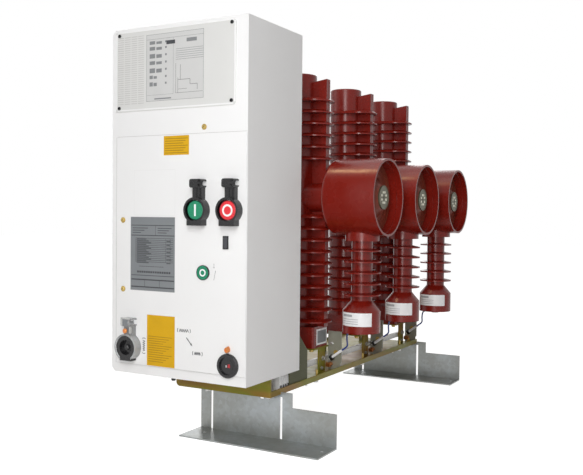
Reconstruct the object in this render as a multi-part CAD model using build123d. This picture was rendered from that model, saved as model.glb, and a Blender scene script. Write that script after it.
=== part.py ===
from build123d import *
import math
import os

# Gas insulated breaker with a side mounted mechanism housing, three resin poles on a folded tray
# and two galvanised feet. All sizes are in millimetres.
# While it is drawn, X = 0 is the right side of the housing, Y = 0 is its front and Z = 0 is the floor.
# X points right, Y runs back along the row of poles and Z points up.

# Clearances
SEAT = 0.3              # gap left where round or curved pieces sit on each other
BORE_PLAY = 0.5         # radial play of a button stem in its bore

# Feet
FOOT_HEIGHT = 95.5      # floor to the underside of the tray
FOOT_SHEET = 3.0
FOOT_FLANGE = 79.5      # depth of the flange on the floor
FOOT_TAB = 28.0         # depth of the folded tabs under the tray
FOOT_TAB_WIDTH = 40.0
FOOT_LEFT_X = -218.0
FOOT_STEP_X = 6.6       # the plate steps down here
FOOT_RIGHT_X = 107.0
FOOT_LOW_HEIGHT = 70.0
FOOT_EAR_RISE = 4.5     # how far the plate rises beside the tray
FRONT_FOOT_INSET = 41.5 # from the front of the tray to the front foot's plate
SLOT_WIDTH = 6.0
SLOT_LEFT_X = -190.0
SLOT_RIGHT_X = -19.0
SLOT_END_GAP = 2.5      # between the slot's upper end and the tab
FLOOR_HOLE_DIAMETER = 9.0
FLOOR_HOLE_INSET_Y = 33.0
FLOOR_HOLE_LEFT_X = -186.0
FLOOR_HOLE_RIGHT_X = 92.5
OBROUND_LENGTH = 10.0
OBROUND_WIDTH = 5.0
OBROUND_X = -65.5
OBROUND_DROP = 12.0     # below the top of the plate

# Tray
TRAY_LEFT_X = -254.0
TRAY_RIGHT_X = -20.0
TRAY_UNDER_HOUSING = 83.0
TRAY_END_MARGIN = 50.0  # from the last pole's axis to the rear end
TRAY_HEIGHT = 45.5
TRAY_SHEET = 3.0
TRAY_LIP = 12.0
TRAY_BEND = 9.0         # outer radius of the fold along the left side

# Mechanism housing and what sits on its front
HOUSING_WIDTH = 324.0
HOUSING_DEPTH = 207.0
HOUSING_HEIGHT = 690.0
HOUSING_CORNER = 8.0
COVER_SHEET = 2.0
COVER_LEFT_MARGIN = 13.0
COVER_RIGHT_MARGIN = 1.0
COVER_BOTTOM_MARGIN = 19.0
COVER_TOP_GAP = 51.0    # between the cover and the vent panel
VENT_PANEL_WIDTH = 288.0
VENT_PANEL_HEIGHT = 159.0
VENT_PANEL_RIGHT_MARGIN = 26.0
VENT_PANEL_TOP_MARGIN = 6.0
VENT_PANEL_CORNER = 8.0

# Push buttons and their guards
CLOSE_BUTTON_X = -106.5
OPEN_BUTTON_X = -33.2
BUTTON_Z_ABOVE_BOTTOM = 329.0
BUTTON_DIAMETER = 36.0
BUTTON_THICKNESS = 8.0
BUTTON_ROUND = 1.5
BUTTON_TRAVEL = 5.0
BUTTON_REST_GAP = 6.0   # from the back of the button to the cover
STEM_DIAMETER = 10.0
STEM_LENGTH = 16.0
GUARD_DIAMETER = 49.0
GUARD_BORE = 41.0
GUARD_DEPTH = 18.0
GUARD_FOOT_WIDTH = 33.5
GUARD_FOOT_DROP = 29.0
GUARD_NECK_WIDTH = 22.0
GUARD_NECK_SHIFT = 2.5  # the neck and head stand a little to the right
GUARD_NECK_DEPTH = 11.0
GUARD_NECK_TOP = 42.6
GUARD_HEAD_WIDTH = 27.5
GUARD_HEAD_HEIGHT = 16.4
GUARD_HEAD_CORNER = 4.0
PADLOCK_NOTCH = 11.0    # round notch that opens to the right
PADLOCK_NOTCH_INSET = 3.5

# Charging socket under its clear housing
SOCKET_FROM_LEFT = 50.6
SOCKET_Z_ABOVE_BOTTOM = 54.0
SOCKET_DIAMETER = 47.0
SOCKET_FOOT_SHARE = 0.6  # width of the flat foot as a share of the diameter
SOCKET_DEPTH = 16.0
SOCKET_MOUTH = 30.0
SOCKET_MOUTH_DEPTH = 9.0
CLEAR_WALL = 3.0

# Counter, indicator and ring lock
COUNTER_WIDTH = 12.0
COUNTER_HEIGHT = 25.0
COUNTER_DEPTH = 2.0
COUNTER_X = -45.3
COUNTER_Z_ABOVE_BOTTOM = 268.8
INDICATOR_DIAMETER = 26.0
INDICATOR_RIM = 3.0
INDICATOR_GROOVE = 2.0
INDICATOR_GROOVE_DEPTH = 1.0
INDICATOR_DEPTH = 3.0
INDICATOR_X = -96.0
INDICATOR_Z_ABOVE_BOTTOM = 210.4
LOCK_DIAMETER = 46.0
LOCK_ROUND = 2.0
LOCK_BORE = 34.0
LOCK_DEPTH = 6.0
LOCK_FLOOR = 2.0
LOCK_X = -38.0
LOCK_Z_ABOVE_BOTTOM = 38.0

# Row of poles
POLE_COUNT = 3
POLE_PITCH = 250.0
FIRST_POLE_GAP = 200.0  # from the back of the housing to the first pole's axis
POLE_X = -114.0
POLE_RADIUS = 40.0
POLE_CAP_TOP = 787.5
CAP_ROUND = 3.0
RIDGE_WIDTH = 18.0
RIDGE_REACH = 74.5      # from the pole axis to the face of the ridge
RIDGE_INTO_CORE = 2.0    # the slope of its top runs this far into the round core
FIN_TOP_INNER = 769.0
FIN_TOP_OUTER = 774.5
BLOCK_WIDTH = 74.0
BLOCK_LENGTH = 122.0
BLOCK_BOTTOM = 157.5
BLOCK_HEIGHT = 48.5
BLOCK_CORNER = 6.0

# Sheds of a pole
SHED_REACH = 10.5
SHED_NOSE_RADIUS = 45.0 # round end of a shed over the ridge
SHED_RIM = 3.0
SHED_ROOT = 8.0
UPPER_SHED_COUNT = 6
TOP_SHED_Z = 723.1        # underside of the uppermost shed
SHED_PITCH = 26.7
MIDDLE_SHED_COUNT = 4
LOWER_SHED_COUNT = 10
SHED_COUNT = UPPER_SHED_COUNT + MIDDLE_SHED_COUNT + LOWER_SHED_COUNT

# Resin cups
CUP_Z = 503.6
CUP_RADIUS = 86.6
CUP_WALL = 5.0
CUP_MOUTH_X = 112.8
CUP_LENGTH = 127.0
CUP_SHOULDER = 8.0
CUP_RECESS = 32.0
CUP_STEP_DEPTH = 14.0    # the mouth is a little wider down to this depth
CUP_STEP = 1.8
NECK_RADIUS = 34.0
DISC_THICKNESS = 6.0
BOSS_BASE_RADIUS = 46.0
BOSS_HEIGHT = 17.0
CONTACT_RADIUS = 26.5
CONTACT_THICKNESS = 3.0
CONTACT_HOLE = 5.0

# Post insulators
POST_X = 50.0
POST_CORE_RADIUS = 23.9
POST_SHED_RADIUS = 42.7
POST_SHED_COUNT = 5
POST_SHED_TOP = 384.2
POST_SHED_PITCH = 24.8
POST_SHED_RIM = 3.0
POST_SHED_DROP = 1.0     # the underside slopes down to the core by this much
POST_SHED_RISE = 4.0     # and the top slopes up by this much
POST_COLLAR_RADIUS = 38.5
POST_COLLAR_BOTTOM = 406.0
POST_BASE_RADIUS = 42.7
POST_BASE_TOP = 250.0
POST_CONE_TOP = 272.0
POST_BOTTOM = 200.0
POST_STUD_RADIUS = 10.0
POST_STUD_HEIGHT = 5.0

# Carriers, brackets and the coupling bar in the tray
CARRIER_SHEET = 4.0
CARRIER_REACH_X = 2.0   # beyond the block on each side
CARRIER_LEG_DEPTH = 30.0
CARRIER_LEG_INSET = 17.0 # from the back of the pole block to the legs
BRACKET_SHEET = 3.0
BRACKET_HEIGHT = 91.0
BRACKET_FOOT = 17.0     # the plate is notched over the tray's lip up to here
BRACKET_GAP = 6.0       # behind the pole block
BAR_HEIGHT = 12.0
BAR_THICKNESS = 9.0
BAR_Z = 119.0
BAR_END_MARGIN = 25.0
GUSSET_SHEET = 3.0
GUSSET_LENGTH = 79.0
GUSSET_FRONT_TOP = 249.0
GUSSET_REAR_TOP = 170.0
TERMINAL_WIDTH = 18.0
TERMINAL_LENGTH = 40.0
TERMINAL_HEIGHT = 35.0
TERMINAL_COUNT = 4
TERMINAL_CUT = 1.5       # thin cuts part the blocks above this height
TERMINAL_CUT_FLOOR = 12.0
TERMINAL_SIDE_GAP = 4.0
TERMINAL_REAR_GAP = 4.5 # behind it to the back of the housing
GLAND_RADIUS = 7.0
GLAND_LENGTH = 6.0
GLAND_X = -42.0
GLAND_Z = 128.0
SLEEVE_RADIUS = 3.2
SLEEVE_ANGLE = 36.0     # the sleeve rises toward the post
SLEEVE_BEHIND = 6.0     # length of sleeve on each side of the gland's middle
SLEEVE_AHEAD = 34.0
LEAD_RADIUS = 2.0
CORD_BEND_SHARE = 0.45   # share of the shorter run that each bend takes
LEAD_FIRST_RUN = 18.0
LEAD_LAST_RUN = 24.0
LEAD_BOW = (-34.0, 17.0, -17.5)   # from the stud to the corner of the lead's bow

# Places that follow from the sizes above
TRAY_BOTTOM = FOOT_HEIGHT
TRAY_FLOOR = TRAY_BOTTOM + TRAY_SHEET
HOUSING_BOTTOM = TRAY_BOTTOM + TRAY_HEIGHT
HOUSING_TOP = HOUSING_BOTTOM + HOUSING_HEIGHT
TRAY_FRONT_Y = HOUSING_DEPTH - TRAY_UNDER_HOUSING
FRONT_FOOT_Y = TRAY_FRONT_Y + FRONT_FOOT_INSET
COVER_FACE = -COVER_SHEET
GUARD_FACE = COVER_FACE - GUARD_DEPTH
BUTTON_Z = HOUSING_BOTTOM + BUTTON_Z_ABOVE_BOTTOM
CUP_REAR_X = CUP_MOUTH_X - CUP_LENGTH
BLOCK_RIGHT_X = POLE_X + BLOCK_LENGTH / 2
BAR_RIGHT_X = BLOCK_RIGHT_X + CARRIER_REACH_X - CARRIER_SHEET
FIRST_POLE_Y = HOUSING_DEPTH + FIRST_POLE_GAP
POLE_YS = [FIRST_POLE_Y + POLE_PITCH * k for k in range(POLE_COUNT)]
TRAY_REAR_Y = POLE_YS[-1] + TRAY_END_MARGIN
SOCKET_X = -HOUSING_WIDTH + SOCKET_FROM_LEFT
TERMINAL_FRONT_Y = HOUSING_DEPTH + TERMINAL_REAR_GAP - TERMINAL_LENGTH
VENT_PANEL_BOTTOM = HOUSING_TOP - VENT_PANEL_TOP_MARGIN - VENT_PANEL_HEIGHT

# The part's own origin is under the middle of its bounding box
LEFT_END = -HOUSING_WIDTH
RIGHT_END = max(CUP_MOUTH_X, FOOT_RIGHT_X, POST_X + POST_SHED_RADIUS)
FRONT_END = GUARD_FACE
REAR_END = max(TRAY_REAR_Y + FOOT_SHEET, POLE_YS[-1] + CUP_RADIUS)
ORIGIN_X = (LEFT_END + RIGHT_END) / 2
ORIGIN_Y = (FRONT_END + REAR_END) / 2
ON_BASE = (Align.CENTER, Align.CENTER, Align.MIN)


def save(name, shape):
    """Move a finished piece to the part's own origin and write its file."""
    export_step(Pos(-ORIGIN_X, -ORIGIN_Y, 0) * shape, "parts/" + name + ".step")


def block(x0, x1, y0, y1, z0, z1):
    """A box between two corners."""
    size = Box(x1 - x0, y1 - y0, z1 - z0, align=(Align.MIN, Align.MIN, Align.MIN))
    return Pos(x0, y0, z0) * size


def rod_x(radius, x0, x1, y, z):
    """A cylinder along X."""
    return Pos(x0, y, z) * Rot(0, 90, 0) * Cylinder(radius, x1 - x0, align=ON_BASE)


def rod_y(radius, y0, y1, x, z):
    """A cylinder along Y."""
    return Pos(x, y0, z) * Rot(-90, 0, 0) * Cylinder(radius, y1 - y0, align=ON_BASE)


def rod_z(radius, z0, z1, x, y):
    """An upright cylinder."""
    return Pos(x, y, z0) * Cylinder(radius, z1 - z0, align=ON_BASE)


# Feet: a plate across the tray with a flange on the floor and two tabs under the tray
def make_foot(plate_y):
    rear = plate_y + FOOT_SHEET
    tall = block(FOOT_LEFT_X, TRAY_RIGHT_X, plate_y, rear, 0, FOOT_HEIGHT)
    ear_x = TRAY_RIGHT_X + SEAT
    ear = block(TRAY_RIGHT_X, FOOT_STEP_X, plate_y, rear, 0, FOOT_HEIGHT)
    ear += block(ear_x, FOOT_STEP_X, plate_y, rear, FOOT_HEIGHT, FOOT_HEIGHT + FOOT_EAR_RISE)
    low = block(FOOT_STEP_X, FOOT_RIGHT_X, plate_y, rear, 0, FOOT_LOW_HEIGHT)
    flange = block(FOOT_LEFT_X, FOOT_RIGHT_X, plate_y - FOOT_FLANGE, plate_y, 0, FOOT_SHEET)
    foot = tall + ear + low + flange
    for slot_x in (SLOT_LEFT_X, SLOT_RIGHT_X):
        slot_top = FOOT_HEIGHT - FOOT_SHEET - SLOT_END_GAP
        half = SLOT_WIDTH / 2
        foot -= block(slot_x - half, slot_x + half, plate_y, rear, FOOT_SHEET, slot_top)
        half = FOOT_TAB_WIDTH / 2
        tab_x = min(slot_x, TRAY_RIGHT_X - half)
        tab_front = plate_y - FOOT_TAB
        foot += block(tab_x - half, tab_x + half, tab_front, plate_y, FOOT_HEIGHT - FOOT_SHEET, FOOT_HEIGHT)
    for hole_x in (FLOOR_HOLE_LEFT_X, FLOOR_HOLE_RIGHT_X):
        foot -= rod_z(FLOOR_HOLE_DIAMETER / 2, 0, FOOT_SHEET, hole_x, plate_y - FLOOR_HOLE_INSET_Y)
    obround = extrude(SlotOverall(OBROUND_LENGTH, OBROUND_WIDTH), FOOT_SHEET)
    foot -= Pos(OBROUND_X, rear, FOOT_HEIGHT - OBROUND_DROP) * Rot(90, 0, 0) * obround
    return foot


# Tray: folded sheet, open on both sides above a low lip
def make_tray():
    tray = block(TRAY_LEFT_X, TRAY_RIGHT_X, TRAY_FRONT_Y, TRAY_REAR_Y, TRAY_BOTTOM, TRAY_FLOOR)
    lip_top = TRAY_BOTTOM + TRAY_LIP
    tray += block(TRAY_RIGHT_X - TRAY_SHEET, TRAY_RIGHT_X, TRAY_FRONT_Y, TRAY_REAR_Y, TRAY_BOTTOM, lip_top)
    tray += block(TRAY_LEFT_X, TRAY_LEFT_X + TRAY_SHEET, TRAY_FRONT_Y, TRAY_REAR_Y, TRAY_BOTTOM, lip_top)
    front = TRAY_FRONT_Y + TRAY_SHEET
    tray += block(TRAY_LEFT_X, TRAY_RIGHT_X, TRAY_FRONT_Y, front, TRAY_BOTTOM, HOUSING_BOTTOM)
    long_edges = tray.edges().filter_by(Axis.Y)
    outer = long_edges.filter_by_position(Axis.X, TRAY_LEFT_X - 1, TRAY_LEFT_X + 1).group_by(Axis.Z)[0]
    tray = fillet(outer, TRAY_BEND)
    inner_x = TRAY_LEFT_X + TRAY_SHEET
    long_edges = tray.edges().filter_by(Axis.Y).filter_by_position(Axis.X, inner_x - 1, inner_x + 1)
    inner = long_edges.group_by(Axis.Z)[0]
    return fillet(inner, TRAY_BEND - TRAY_SHEET)


# Housing and covers
def make_housing():
    body = block(-HOUSING_WIDTH, 0, 0, HOUSING_DEPTH, HOUSING_BOTTOM, HOUSING_TOP)
    edges = body.edges().filter_by(Axis.Y).group_by(Axis.X)[0]
    body = chamfer(edges, HOUSING_CORNER)
    for x in (CLOSE_BUTTON_X, OPEN_BUTTON_X):
        bore_depth = STEM_LENGTH + BUTTON_TRAVEL
        body -= rod_y(STEM_DIAMETER / 2 + BORE_PLAY, -1, bore_depth, x, BUTTON_Z)
    return body


def make_front_cover():
    left = -HOUSING_WIDTH + COVER_LEFT_MARGIN
    bottom = HOUSING_BOTTOM + COVER_BOTTOM_MARGIN
    cover = block(left, -COVER_RIGHT_MARGIN, COVER_FACE, 0, bottom, VENT_PANEL_BOTTOM - COVER_TOP_GAP)
    for x in (CLOSE_BUTTON_X, OPEN_BUTTON_X):
        cover -= rod_y(STEM_DIAMETER / 2 + BORE_PLAY, COVER_FACE, 0, x, BUTTON_Z)
    return cover


def make_vent_panel():
    right = -VENT_PANEL_RIGHT_MARGIN
    top = VENT_PANEL_BOTTOM + VENT_PANEL_HEIGHT
    panel = block(right - VENT_PANEL_WIDTH, right, COVER_FACE, 0, VENT_PANEL_BOTTOM, top)
    return fillet(panel.edges().filter_by(Axis.Y).group_by(Axis.X)[-1], VENT_PANEL_CORNER)


# Guards: a round collar with a flat foot below and a padlock eye above
def guard_foot(x, z, width, drop, depth):
    return block(x - width / 2, x + width / 2, COVER_FACE - depth, COVER_FACE, z - drop, z)


def padlock_hook(x, z, depth):
    """A neck up the cover with a head notched for a padlock."""
    middle = x + GUARD_NECK_SHIFT
    head_z = z + GUARD_NECK_TOP
    half = GUARD_NECK_WIDTH / 2
    neck = block(middle - half, middle + half, COVER_FACE - GUARD_NECK_DEPTH, COVER_FACE, z, head_z)
    half = GUARD_HEAD_WIDTH / 2
    head_top = head_z + GUARD_HEAD_HEIGHT
    head = block(middle - half, middle + half, COVER_FACE - depth, COVER_FACE, head_z, head_top)
    head = fillet(head.edges().filter_by(Axis.Y), GUARD_HEAD_CORNER)
    notch_x = middle + half - PADLOCK_NOTCH_INSET
    notch = rod_y(PADLOCK_NOTCH / 2, COVER_FACE - depth, COVER_FACE, notch_x, head_z + GUARD_HEAD_HEIGHT / 2)
    return neck + (head - notch)


def make_guard(x):
    guard = rod_y(GUARD_DIAMETER / 2, GUARD_FACE, COVER_FACE, x, BUTTON_Z)
    guard += guard_foot(x, BUTTON_Z, GUARD_FOOT_WIDTH, GUARD_FOOT_DROP, GUARD_DEPTH)
    guard += padlock_hook(x, BUTTON_Z, GUARD_DEPTH)
    guard -= rod_y(GUARD_BORE / 2, GUARD_FACE, COVER_FACE, x, BUTTON_Z)
    return guard


def make_button(x):
    back = COVER_FACE - BUTTON_REST_GAP
    cap = rod_y(BUTTON_DIAMETER / 2, back - BUTTON_THICKNESS, back, x, BUTTON_Z)
    cap = fillet(cap.edges().group_by(Axis.Y)[0], BUTTON_ROUND)
    return cap + rod_y(STEM_DIAMETER / 2, back, back + STEM_LENGTH, x, BUTTON_Z)


def make_socket():
    z = HOUSING_BOTTOM + SOCKET_Z_ABOVE_BOTTOM
    front = COVER_FACE - SOCKET_DEPTH
    socket = rod_y(SOCKET_DIAMETER / 2, front, COVER_FACE, SOCKET_X, z)
    width = SOCKET_DIAMETER * SOCKET_FOOT_SHARE
    socket += guard_foot(SOCKET_X, z, width, SOCKET_DIAMETER / 2 + CLEAR_WALL, SOCKET_DEPTH)
    mouth_end = front + SOCKET_MOUTH_DEPTH
    socket -= rod_y(SOCKET_MOUTH / 2, front, mouth_end, SOCKET_X, z)
    return socket


def make_clear_housing():
    z = HOUSING_BOTTOM + SOCKET_Z_ABOVE_BOTTOM
    inner = SOCKET_DIAMETER / 2 + SEAT
    shell = rod_y(inner + CLEAR_WALL, GUARD_FACE, COVER_FACE, SOCKET_X, z)
    shell += padlock_hook(SOCKET_X, z, GUARD_DEPTH)
    shell -= rod_y(inner, GUARD_FACE, COVER_FACE, SOCKET_X, z)
    width = SOCKET_DIAMETER * SOCKET_FOOT_SHARE + 2 * SEAT
    drop = SOCKET_DIAMETER
    shell -= guard_foot(SOCKET_X, z, width, drop, GUARD_DEPTH)
    return shell


def make_counter():
    z = HOUSING_BOTTOM + COUNTER_Z_ABOVE_BOTTOM
    half_w = COUNTER_WIDTH / 2
    half_h = COUNTER_HEIGHT / 2
    return block(COUNTER_X - half_w, COUNTER_X + half_w, COVER_FACE - COUNTER_DEPTH, COVER_FACE,
                 z - half_h, z + half_h)


def make_indicator():
    z = HOUSING_BOTTOM + INDICATOR_Z_ABOVE_BOTTOM
    front = COVER_FACE - INDICATOR_DEPTH
    body = rod_y(INDICATOR_DIAMETER / 2, front, COVER_FACE, INDICATOR_X, z)
    groove_radius = INDICATOR_DIAMETER / 2 - INDICATOR_RIM
    floor_y = front + INDICATOR_GROOVE_DEPTH
    groove = rod_y(groove_radius, front, floor_y, INDICATOR_X, z)
    return body - (groove - rod_y(groove_radius - INDICATOR_GROOVE, front, floor_y, INDICATOR_X, z))


def make_lock_ring():
    z = HOUSING_BOTTOM + LOCK_Z_ABOVE_BOTTOM
    front = COVER_FACE - LOCK_DEPTH
    ring = rod_y(LOCK_DIAMETER / 2, front, COVER_FACE, LOCK_X, z)
    ring = fillet(ring.edges().group_by(Axis.Y)[0], LOCK_ROUND)
    return ring - rod_y(LOCK_BORE / 2, front, COVER_FACE - LOCK_FLOOR, LOCK_X, z)


# Poles: a round core with a square ridge toward the cup, oval sheds, a round cap and a square block
def shed_outline(cut):
    """Oval round the core and the ridge, cut back all round by the given width."""
    nose_x = RIDGE_REACH + SHED_REACH - SHED_NOSE_RADIUS
    around_core = Circle(POLE_RADIUS + SHED_REACH - cut)
    nose = Pos(nose_x, 0) * Circle(SHED_NOSE_RADIUS - cut)
    return make_hull(around_core.edges() + nose.edges())


def make_shed():
    """Flat underside, upright rim and a top that slopes up to the core."""
    rim = extrude(shed_outline(0), SHED_RIM)
    wide = Pos(0, 0, SHED_RIM) * shed_outline(0)
    narrow = Pos(0, 0, SHED_ROOT) * shed_outline(SHED_REACH)
    return rim + loft([wide, narrow], ruled=True)


def make_pole():
    block_top = BLOCK_BOTTOM + BLOCK_HEIGHT
    pole = Pos(0, 0, BLOCK_BOTTOM) * Box(BLOCK_LENGTH, BLOCK_WIDTH, BLOCK_HEIGHT, align=ON_BASE)
    pole = fillet(pole.edges().filter_by(Axis.Z), BLOCK_CORNER)
    core = rod_z(POLE_RADIUS, block_top, POLE_CAP_TOP, 0, 0)
    pole += fillet(core.edges().group_by(Axis.Z)[-1], CAP_ROUND)
    ridge_profile = Polyline((0, block_top), (RIDGE_REACH, block_top), (RIDGE_REACH, FIN_TOP_OUTER),
                             (POLE_RADIUS - RIDGE_INTO_CORE, FIN_TOP_INNER), (0, FIN_TOP_INNER), close=True)
    pole += extrude(Plane.XZ * make_face(ridge_profile), RIDGE_WIDTH / 2, both=True)
    shed = make_shed()
    opening = block(-POLE_RADIUS / 2, 2 * RIDGE_REACH, -BLOCK_WIDTH, BLOCK_WIDTH, 0, SHED_PITCH)
    shed_behind_cup = shed - opening
    for k in range(SHED_COUNT):
        behind_cup = UPPER_SHED_COUNT <= k < UPPER_SHED_COUNT + MIDDLE_SHED_COUNT
        pole += Pos(0, 0, TOP_SHED_Z - SHED_PITCH * k) * (shed_behind_cup if behind_cup else shed)
    return pole


# Cups: turned shells with a solid floor and a neck to the pole
def make_cup():
    shoulder_x = CUP_REAR_X + CUP_SHOULDER
    bend = CUP_RADIUS - CUP_SHOULDER
    mid = CUP_SHOULDER * (1 - math.sqrt(0.5))
    floor_x = CUP_MOUTH_X - CUP_RECESS - DISC_THICKNESS
    bore = CUP_RADIUS - CUP_WALL
    step_x = CUP_MOUTH_X - CUP_STEP_DEPTH
    inner_bore = bore - CUP_STEP
    outline = [
        Line((POLE_X, 0), (POLE_X, NECK_RADIUS)),
        Line((POLE_X, NECK_RADIUS), (CUP_REAR_X, NECK_RADIUS)),
        Line((CUP_REAR_X, NECK_RADIUS), (CUP_REAR_X, bend)),
        ThreePointArc((CUP_REAR_X, bend), (CUP_REAR_X + mid, CUP_RADIUS - mid), (shoulder_x, CUP_RADIUS)),
        Line((shoulder_x, CUP_RADIUS), (CUP_MOUTH_X, CUP_RADIUS)),
        Line((CUP_MOUTH_X, CUP_RADIUS), (CUP_MOUTH_X, bore)),
        Line((CUP_MOUTH_X, bore), (step_x, bore)),
        Line((step_x, bore), (step_x, inner_bore)),
        Line((step_x, inner_bore), (floor_x, inner_bore)),
        Line((floor_x, inner_bore), (floor_x, 0)),
        Line((floor_x, 0), (POLE_X, 0)),
    ]
    return Pos(0, 0, CUP_Z) * revolve(Plane.XZ * make_face(outline), Axis.X)


def make_disc():
    """Resin floor of a cup with a low conical boss."""
    face = CUP_MOUTH_X - CUP_RECESS
    rim = CUP_RADIUS - CUP_WALL - CUP_STEP - SEAT
    back = face - DISC_THICKNESS
    boss_top = face + BOSS_HEIGHT
    outline = Polyline((back, 0), (back, rim), (face, rim), (face, BOSS_BASE_RADIUS),
                       (boss_top, CONTACT_RADIUS), (boss_top, 0), close=True)
    return Pos(0, 0, CUP_Z) * revolve(Plane.XZ * make_face(outline), Axis.X)


def make_contact():
    back = CUP_MOUTH_X - CUP_RECESS + BOSS_HEIGHT
    front = back + CONTACT_THICKNESS
    return rod_x(CONTACT_RADIUS, back, front, 0, CUP_Z) - rod_x(CONTACT_HOLE / 2, back, front, 0, CUP_Z)


# Post insulators: turned bodies that hang under the cups
def make_post():
    points = [(0, POST_BOTTOM - POST_STUD_HEIGHT), (POST_STUD_RADIUS, POST_BOTTOM - POST_STUD_HEIGHT),
              (POST_STUD_RADIUS, POST_BOTTOM), (POST_BASE_RADIUS, POST_BOTTOM),
              (POST_BASE_RADIUS, POST_BASE_TOP), (POST_CORE_RADIUS, POST_CONE_TOP)]
    for k in reversed(range(POST_SHED_COUNT)):
        rim = POST_SHED_TOP - POST_SHED_PITCH * k
        half = POST_SHED_RIM / 2
        points += [(POST_CORE_RADIUS, rim - half - POST_SHED_DROP), (POST_SHED_RADIUS, rim - half),
                   (POST_SHED_RADIUS, rim + half), (POST_CORE_RADIUS, rim + half + POST_SHED_RISE)]
    points += [(POST_CORE_RADIUS, POST_COLLAR_BOTTOM), (POST_COLLAR_RADIUS, POST_COLLAR_BOTTOM),
               (POST_COLLAR_RADIUS, CUP_Z), (0, CUP_Z)]
    body = revolve(Plane.XZ * make_face(Polyline(*points, close=True)), Axis.Z)
    body = Pos(POST_X, 0, 0) * body
    cup_space = rod_x(CUP_RADIUS, CUP_REAR_X, CUP_MOUTH_X + CUP_RADIUS, 0, CUP_Z)
    return body - cup_space


# Pieces in the tray
def make_carrier(y):
    left = POLE_X - BLOCK_LENGTH / 2 - CARRIER_REACH_X
    right = BLOCK_RIGHT_X + CARRIER_REACH_X
    front = y - BLOCK_WIDTH / 2 + CARRIER_SHEET
    rear = y + BLOCK_WIDTH / 2
    top = BLOCK_BOTTOM
    carrier = block(left, right, front, rear, top - CARRIER_SHEET, top)
    leg_rear = rear - CARRIER_LEG_INSET
    for x in (left, right - CARRIER_SHEET):
        carrier += block(x, x + CARRIER_SHEET, leg_rear - CARRIER_LEG_DEPTH, leg_rear, TRAY_FLOOR, top)
    return carrier


def make_bracket(y):
    front = y + BLOCK_WIDTH / 2 + BRACKET_GAP
    rear = front + BRACKET_SHEET
    left = BAR_RIGHT_X + SEAT
    top = TRAY_FLOOR + BRACKET_HEIGHT
    lip_clear = TRAY_FLOOR + BRACKET_FOOT
    foot = block(left, TRAY_RIGHT_X - TRAY_SHEET, front, rear, TRAY_FLOOR, lip_clear)
    return foot + block(left, TRAY_RIGHT_X, front, rear, lip_clear, top)


def gland_place(y):
    """Middle of the gland, which leans on the front of its bracket."""
    lean_y = y + BLOCK_WIDTH / 2 + BRACKET_GAP - GLAND_RADIUS
    return Pos(GLAND_X, lean_y, GLAND_Z) * Rot(0, -SLEEVE_ANGLE, 0)


def make_gland(y):
    half = GLAND_LENGTH / 2
    ring = rod_x(GLAND_RADIUS, -half, half, 0, 0) - rod_x(SLEEVE_RADIUS + SEAT / 2, -half, half, 0, 0)
    return gland_place(y) * ring


def make_bar():
    rear = TRAY_REAR_Y - BAR_END_MARGIN
    return block(BAR_RIGHT_X - BAR_THICKNESS, BAR_RIGHT_X, HOUSING_DEPTH, rear, BAR_Z, BAR_Z + BAR_HEIGHT)


def make_gusset():
    profile = Polyline((HOUSING_DEPTH, TRAY_FLOOR), (HOUSING_DEPTH + GUSSET_LENGTH, TRAY_FLOOR),
                       (HOUSING_DEPTH + GUSSET_LENGTH, GUSSET_REAR_TOP), (HOUSING_DEPTH, GUSSET_FRONT_TOP),
                       close=True)
    plate = extrude(Plane.YZ * make_face(profile), -GUSSET_SHEET)
    return Pos(TRAY_RIGHT_X - TRAY_SHEET, 0, 0) * plate


def make_terminals():
    right = TRAY_RIGHT_X - TRAY_SHEET - TERMINAL_SIDE_GAP
    body = block(right - TERMINAL_WIDTH, right, TERMINAL_FRONT_Y, TERMINAL_FRONT_Y + TERMINAL_LENGTH,
                 TRAY_FLOOR, TRAY_FLOOR + TERMINAL_HEIGHT)
    step = TERMINAL_LENGTH / TERMINAL_COUNT
    cut_floor = TRAY_FLOOR + TERMINAL_CUT_FLOOR
    for k in range(1, TERMINAL_COUNT):
        y = TERMINAL_FRONT_Y + step * k
        body -= block(right - TERMINAL_WIDTH, right, y - TERMINAL_CUT / 2, y + TERMINAL_CUT / 2,
                      cut_floor, TRAY_FLOOR + TERMINAL_HEIGHT)
    return body


def make_sleeve(y):
    """White cable sleeve through the gland."""
    return gland_place(y) * rod_x(SLEEVE_RADIUS, -SLEEVE_BEHIND, SLEEVE_AHEAD, 0, 0)


def cord_path(points):
    """Straight runs joined by arcs as large as the runs beside each corner allow."""
    corners = [Vector(*point) for point in points]
    radii = []
    for before, corner, after in zip(corners, corners[1:], corners[2:]):
        arriving = corner - before
        leaving = after - corner
        turn = math.radians(arriving.get_angle(leaving))
        radii.append(CORD_BEND_SHARE * min(arriving.length, leaving.length) / math.tan(turn / 2))
    return FilletPolyline(*corners, radius=radii)


def make_lead(y):
    """Blue lead from the end of the sleeve to the stud under the post."""
    start = (gland_place(y) * Pos(SLEEVE_AHEAD, 0, 0)).position
    ahead = (gland_place(y) * Pos(SLEEVE_AHEAD + LEAD_FIRST_RUN, 0, 0)).position
    stud = Vector(POST_X - POST_STUD_RADIUS, y, POST_BOTTOM - POST_STUD_HEIGHT / 2)
    path = cord_path([start, ahead, stud + Vector(*LEAD_BOW), stud - Vector(LEAD_LAST_RUN, 0, 0), stud])
    section = Plane(path @ 0, z_dir=path % 0) * Circle(LEAD_RADIUS)
    return sweep(section, path)


os.makedirs("parts", exist_ok=True)

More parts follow.
